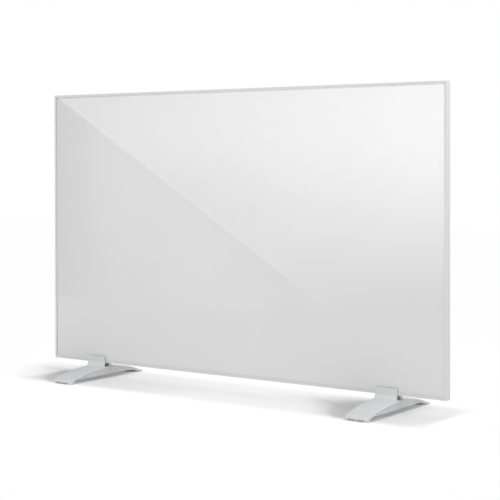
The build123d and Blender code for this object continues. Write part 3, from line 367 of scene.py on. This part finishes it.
# quads over a grid of points, which always closes on itself in its second direction
def gridMesh(name, points, closedAlong):
    rows, columns = points.shape[:2]
    i, j = np.meshgrid(np.arange(rows if closedAlong else rows - 1), np.arange(columns), indexing="ij")
    after, beside = (i + 1) % rows, (j + 1) % columns
    quads = np.stack([i * columns + j, after * columns + j, after * columns + beside,
                      i * columns + beside], -1)
    mesh = bpy.data.meshes.new(name)
    mesh.from_pydata(points.reshape(-1, 3).tolist(), [], quads.reshape(-1, 4).tolist())
    work = bmesh.new()
    work.from_mesh(mesh)
    bmesh.ops.remove_doubles(work, verts=work.verts, dist=1e-7)
    bmesh.ops.recalc_face_normals(work, faces=work.faces)
    work.to_mesh(mesh)
    work.free()
    mesh.polygons.foreach_set("use_smooth", np.ones(len(mesh.polygons), bool))
    piece = bpy.data.objects.new(name, mesh)
    scene.collection.objects.link(piece)
    return piece


# across the rocker's facet, up along it, and straight out of it
def facetAxes(outward):
    outward = np.array(outward)
    sideways = np.array([0.0, 1.0, 0.0])
    return sideways, np.cross(outward, sideways), outward


# a circle carried round with an oval section: radius plus half a stroke times cosine, crown times sine
def paintedRing(setup):
    turn, around = np.meshgrid(np.linspace(0, 2 * np.pi, setup["ringSteps"], endpoint=False),
                               np.linspace(0, 2 * np.pi, setup["sectionSteps"], endpoint=False),
                               indexing="ij")
    sideways, upward, outward = facetAxes(setup["ringOutward"])
    reach = setup["ringRadius"] + setup["stroke"] / 2 * np.cos(around)
    points = (np.array(setup["ringMiddle"]) + (reach * np.cos(turn))[..., None] * sideways
              + (reach * np.sin(turn))[..., None] * upward
              + (setup["crown"] * np.sin(around))[..., None] * outward)
    return gridMesh("rockerRing", points, True)


# an oval section carried along a straight line, narrowed to a point at both ends by the
# eighth root of one minus the eighth power of the way along
def paintedBar(setup):
    way, around = np.meshgrid(np.cos(np.linspace(0, np.pi, setup["barSteps"])),
                              np.linspace(0, 2 * np.pi, setup["sectionSteps"], endpoint=False),
                              indexing="ij")
    sideways, upward, outward = facetAxes(setup["barOutward"])
    width = np.maximum(1 - np.abs(way) ** 8, 0) ** 0.125
    points = (np.array(setup["barMiddle"]) + (way * setup["barLength"] / 2)[..., None] * upward
              + (width * setup["stroke"] / 2 * np.cos(around))[..., None] * sideways
              + (width * setup["crown"] * np.sin(around))[..., None] * outward)
    return gridMesh("rockerBar", points, False)


markPaint = solidFinish("markPaint", markSetup["paint"], 0.5, fine=6000.0, slow=900.0, drift=0.04,
                        depth=0.000004)
marks = [paintedRing(markSetup), paintedBar(markSetup)]
for mark in marks:
    mark.data.materials.append(markPaint)
    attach(mark, "rocker")
print("marks painted:", len(marks))


# a pale floor and a white surround
roomSetup = {
    "floorSize": 12.0,
    "floorColour": (0.80, 0.80, 0.80, 1.0),
    "skyFill": 0.36,       # the surround's light; to the camera and in reflections it is white
}


def makeRoom(setup):
    half = setup["floorSize"] / 2
    mesh = bpy.data.meshes.new("floor")
    mesh.from_pydata([(-half, -half, 0), (half, -half, 0), (half, half, 0), (-half, half, 0)], [],
                     [(0, 1, 2, 3)])
    floor = bpy.data.objects.new("floor", mesh)
    scene.collection.objects.link(floor)
    material, tree, shader, place = startMaterial("paleFloor", 0.9)
    shader.inputs["Base Color"].default_value = setup["floorColour"]
    shader.inputs["Specular IOR Level"].default_value = 0.0
    mesh.materials.append(material)
    world = bpy.data.worlds.new("surround")
    world.use_nodes = True
    scene.world = world
    tree = world.node_tree
    path = put(tree, "ShaderNodeLightPath").outputs
    seen = mathNode(tree, "MAXIMUM", path["Is Camera Ray"], path["Is Glossy Ray"])
    seen = mathNode(tree, "MAXIMUM", seen, path["Is Transmission Ray"])
    background = tree.nodes["Background"]
    background.inputs["Color"].default_value = (1, 1, 1, 1)
    tree.links.new(spreadRange(tree, seen, 0.0, 1.0, setup["skyFill"], 1.0), background.inputs["Strength"])
    return floor


floor = makeRoom(roomSetup)
print("room made")


# lamps light either the floor or the heater, so that each keeps its own level;
# azimuth 0 comes from the front and 90 from the right, rise is the height over the horizon
lampSetup = {
    "bandFront": {"azimuth": 0, "rise": 80.4, "spread": 6, "power": 0.66,
                  "lights": "floor", "shadeOf": ("front_glass", "foot_")},
    "bandRear": {"azimuth": 180, "rise": 78.8, "spread": 6, "power": 0.70,
                 "lights": "floor", "shadeOf": ("rear_cover", "foot_")},
    "lowRight": {"azimuth": 80, "rise": 12.5, "spread": 8, "power": 3.5,
                 "lights": "floor", "shadeOf": ("foot_",)},
    "key": {"azimuth": 22, "rise": 48, "spread": 35, "power": 1.40, "lights": "heater"},
    "rearFill": {"azimuth": 192, "rise": 12, "spread": 35, "power": 0.9, "lights": "heater"},
}
sideLampSetup = {"place": (1.3, 0.0, 1.3), "turn": 45.0, "size": 0.35, "power": 6.0}
heaterPieces = list(frame["nodes"].values()) + marks


def gather(name, pieces):
    collection = bpy.data.collections.new(name)
    for piece in pieces:
        collection.objects.link(piece)
    return collection


litBy = {"floor": gather("floorOnly", [floor]), "heater": gather("heaterOnly", heaterPieces)}


def piecesNamed(starts):
    return [piece for name, piece in frame["nodes"].items() if name.startswith(tuple(starts))]


def addSun(name, setup):
    data = bpy.data.lights.new(name, "SUN")
    data.energy = setup["power"]
    data.angle = math.radians(setup["spread"])
    lamp = bpy.data.objects.new(name, data)
    lamp.rotation_euler = (math.radians(90 - setup["rise"]), 0.0, math.radians(setup["azimuth"]))
    lamp.visible_glossy = False
    lamp.light_linking.receiver_collection = litBy[setup["lights"]]
    if "shadeOf" in setup:
        lamp.light_linking.blocker_collection = gather(name + "Shade", piecesNamed(setup["shadeOf"]))
    scene.collection.objects.link(lamp)


# a small lamp above the right end, in the panel's own plane: it reaches the edges and not the glass
def addSideLamp(setup):
    data = bpy.data.lights.new("sideLamp", "AREA")
    data.size = setup["size"]
    data.energy = setup["power"]
    lamp = bpy.data.objects.new("sideLamp", data)
    lamp.location = setup["place"]
    lamp.rotation_euler = (0.0, math.radians(setup["turn"]), 0.0)
    lamp.visible_glossy = False
    lamp.light_linking.receiver_collection = litBy["heater"]
    scene.collection.objects.link(lamp)


for name, setup in lampSetup.items():
    addSun(name, setup)
addSideLamp(sideLampSetup)
print("lamps placed:", len(lampSetup) + 1)


# one more floor lamp hangs high over the heater; its light carries a drawn pattern, painted shade on the
# floor beside each foot, as in the photograph; lengths in metres, seen from above
shadePainterSetup = {
    "height": 6.0,
    "level": 0.205,                            # radiance that it gives the open floor, before its colour
    "reach": {"left": 0.165, "right": 0.118},  # how far the shade on the left of a foot goes
    "reachSlope": 0.5,                         # more of it towards the rear
    "slopeEnd": 0.06,
    "soft": 0.070,
    "frontEdge": (-0.128, -0.088),
    "rearEdge": (0.070, 0.135),
    "rightDepth": 0.95,                        # the lighter shade on the right of a foot
    "rightStart": -0.02,
    "rightReach": {"left": 0.36, "right": 0.13},
    "rightNear": 0.055,                        # close to the foot it stays dark to the rear
    "rightFade": (-0.07, 0.04),
    "rightLeft": 0.35,
}


def rampUp(tree, value, low, high):
    return put(tree, "ShaderNodeMapRange", {"Value": value, "From Min": low, "From Max": high},
               interpolation_type="SMOOTHSTEP").outputs["Result"]


def rampDown(tree, value, low, high):
    return mathNode(tree, "SUBTRACT", 1.0, rampUp(tree, value, low, high))


def addShadePainterLamp(setup):
    data = bpy.data.lights.new("shadePainter", "POINT")
    data.shadow_soft_size = 0.0
    data.energy = 4 * math.pi ** 2 * setup["height"] ** 2 * setup["level"]
    data.use_nodes = True
    tree = data.node_tree
    way = put(tree, "ShaderNodeSeparateXYZ", {0: put(tree, "ShaderNodeTexCoord").outputs["Normal"]}).outputs
    # the floor point that a ray goes to: its sideways part over its fall, times the lamp's height
    across = mathNode(tree, "MULTIPLY", mathNode(tree, "DIVIDE", way[0], way[2]), -setup["height"])
    back = mathNode(tree, "MULTIPLY", mathNode(tree, "DIVIDE", way[1], way[2]), -setup["height"])
    window = mathNode(tree, "MULTIPLY", rampUp(tree, back, *setup["frontEdge"]),
                      rampDown(tree, back, *setup["rearEdge"]))
    fade = mathNode(tree, "SUBTRACT", 1.0, mathNode(
        tree, "MULTIPLY", rampUp(tree, back, *setup["rightFade"]), 1 - setup["rightLeft"]))
    openShare = 1.0
    # the painted shade beside each foot, drawn from the foot's box and not cast by it
    for side in ("left", "right"):
        low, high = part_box("foot_cover_" + side)
        toLeft = mathNode(tree, "SUBTRACT", low.x, across)
        toRight = mathNode(tree, "SUBTRACT", across, high.x)
        sloped = mathNode(tree, "MINIMUM", back, setup["slopeEnd"])
        slant = mathNode(tree, "MULTIPLY", sloped, setup["reachSlope"])
        beyond = mathNode(tree, "SUBTRACT", mathNode(tree, "SUBTRACT", toLeft, setup["reach"][side]), slant)
        dark = rampDown(tree, beyond, -setup["soft"], setup["soft"])
        dark = mathNode(tree, "MULTIPLY", dark, mathNode(tree, "GREATER_THAN", toLeft, 0.0))
        light = rampDown(tree, toRight, setup["rightStart"], setup["rightReach"][side])
        light = mathNode(tree, "MULTIPLY", light, fade)
        light = mathNode(tree, "MAXIMUM", light, rampDown(tree, toRight, 0.0, setup["rightNear"]))
        light = mathNode(tree, "MULTIPLY", light, setup["rightDepth"])
        light = mathNode(tree, "MULTIPLY", light, mathNode(tree, "GREATER_THAN", toRight, 0.0))
        shade = mathNode(tree, "MULTIPLY", mathNode(tree, "MAXIMUM", dark, light), window)
        openShare = mathNode(tree, "MULTIPLY", openShare, mathNode(tree, "SUBTRACT", 1.0, shade))
    # an even level over the whole floor: a lamp's light thins with the cube of its slant
    cube = mathNode(tree, "POWER", mathNode(tree, "ABSOLUTE", way[2]), -3.0)
    tree.nodes["Emission"].inputs["Strength"].default_value = 1.0
    tree.links.new(mathNode(tree, "MULTIPLY", openShare, cube), tree.nodes["Emission"].inputs["Strength"])
    lamp = bpy.data.objects.new("shadePainter", data)
    lamp.location = (0.0, 0.0, setup["height"])
    lamp.light_linking.receiver_collection = litBy["floor"]
    lamp.light_linking.blocker_collection = gather("flaggedShade", piecesNamed(["foot_"]))
    scene.collection.objects.link(lamp)


addShadePainterLamp(shadePainterSetup)
print("flagged lamp placed")


# the softbox that the glass shows: its lower edge lies on the panel's diagonal, and above that edge it
# grows brighter in three steps of height; lengths are metres on the glass, brightness is radiance
softboxSetup = {
    "standOff": 1.2,                # in front of the glass
    "along": (-0.56, 0.56),         # what the card covers of the panel, from its middle
    "up": (0.14, 0.68),             # and over its lower side
    "edgeMiddle": 0.2978,           # the edge's height over the panel's lower side, at its middle
    "edgeSlope": -0.606,            # and its rise to the right
    "edgeSoft": 0.001,
    "lineWidth": 0.005,             # a thin light line just inside the edge
    "lineOver": 0.005,
    "lineGlow": 0.55,
    "spillReach": 0.36,             # a faint glow outside the edge, which ends to both sides
    "spillStart": (-0.60, -0.26),
    "spillEnd": (-0.10, 0.18),
    "spillGlow": 0.85,
    "steps": (
        {"heights": (0.33, 0.52), "middle": 1.77, "alongGain": 1.05},
        {"heights": (0.15, 0.40), "middle": 0.95, "alongGain": 6.45},
        {"heights": (0.05, 0.30), "middle": 0.90, "alongGain": -2.43},
    ),
    "dimEnd": (-0.52, -0.32),       # outside the edge the surround darkens towards the left end
    "dimShare": 0.9,
}


# the card's corners are points of the glass, carried on to the card's plane as the camera's mirror
# image sees them
def addSoftbox(setup):
    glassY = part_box("front_glass")[0].y
    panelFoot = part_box("frame_bottom")[0].z
    eye = np.array([camera.location.x, 2 * glassY - camera.location.y, camera.location.z])
    cardY = glassY - setup["standOff"]
    reach = (cardY - eye[1]) / (glassY - eye[1])
    u = np.array(setup["along"])[[0, 1, 1, 0]]
    v = np.array(setup["up"])[[0, 0, 1, 1]]
    onGlass = np.column_stack([u, np.full(4, glassY), v + panelFoot])
    corners = eye + (onGlass - eye) * reach
    mesh = bpy.data.meshes.new("softbox")
    mesh.from_pydata(corners.tolist(), [], [(0, 1, 2, 3)])
    layer = mesh.uv_layers.new(name="glassPlace")
    layer.data.foreach_set("uv", np.column_stack([u, v]).ravel())
    card = bpy.data.objects.new("softbox", mesh)
    scene.collection.objects.link(card)
    card.visible_camera = False
    card.visible_diffuse = False
    card.visible_shadow = False
    card.visible_transmission = False
    material = bpy.data.materials.new("softboxGlow")
    material.use_nodes = True
    tree = material.node_tree
    tree.nodes.clear()
    uv = put(tree, "ShaderNodeSeparateXYZ", {0: put(tree, "ShaderNodeUVMap", uv_map="glassPlace").outputs[0]})
    along, up = uv.outputs[0], uv.outputs[1]
    edge = mathNode(tree, "ADD", mathNode(tree, "MULTIPLY", along, setup["edgeSlope"]), setup["edgeMiddle"])
    over = mathNode(tree, "SUBTRACT", up, edge)
    bright = 0.0
    for step in setup["steps"]:
        most = mathNode(tree, "ADD", mathNode(tree, "MULTIPLY", along, step["alongGain"]), step["middle"])
        share = mathNode(tree, "MULTIPLY", most, rampUp(tree, up, *step["heights"]))
        bright = mathNode(tree, "ADD", share, bright)
    inside = rampUp(tree, over, -setup["edgeSoft"], setup["edgeSoft"])
    bright = mathNode(tree, "MULTIPLY", mathNode(tree, "MAXIMUM", bright, 0.0), inside)
    fromLine = mathNode(tree, "ABSOLUTE", mathNode(tree, "SUBTRACT", over, setup["lineOver"]))
    line = rampDown(tree, fromLine, 0.0, setup["lineWidth"])
    bright = mathNode(tree, "ADD", bright, mathNode(tree, "MULTIPLY", line, setup["lineGlow"]))
    outside = mathNode(tree, "SUBTRACT", 1.0, inside)
    spill = mathNode(tree, "MULTIPLY", rampUp(tree, over, -setup["spillReach"], 0.0),
                     rampDown(tree, along, *setup["spillEnd"]))
    spill = mathNode(tree, "MULTIPLY", spill, rampUp(tree, along, *setup["spillStart"]))
    spill = mathNode(tree, "MULTIPLY", spill, setup["spillGlow"])
    dim = mathNode(tree, "MULTIPLY", rampDown(tree, along, *setup["dimEnd"]), setup["dimShare"])
    change = mathNode(tree, "MULTIPLY", mathNode(tree, "SUBTRACT", spill, dim), outside)
    strength = mathNode(tree, "ADD", mathNode(tree, "ADD", bright, change), 1.0)
    glow = put(tree, "ShaderNodeEmission", {"Strength": strength})
    put(tree, "ShaderNodeOutputMaterial", {"Surface": glow.outputs[0]})
    mesh.materials.append(material)


addSoftbox(softboxSetup)
print("softbox placed")
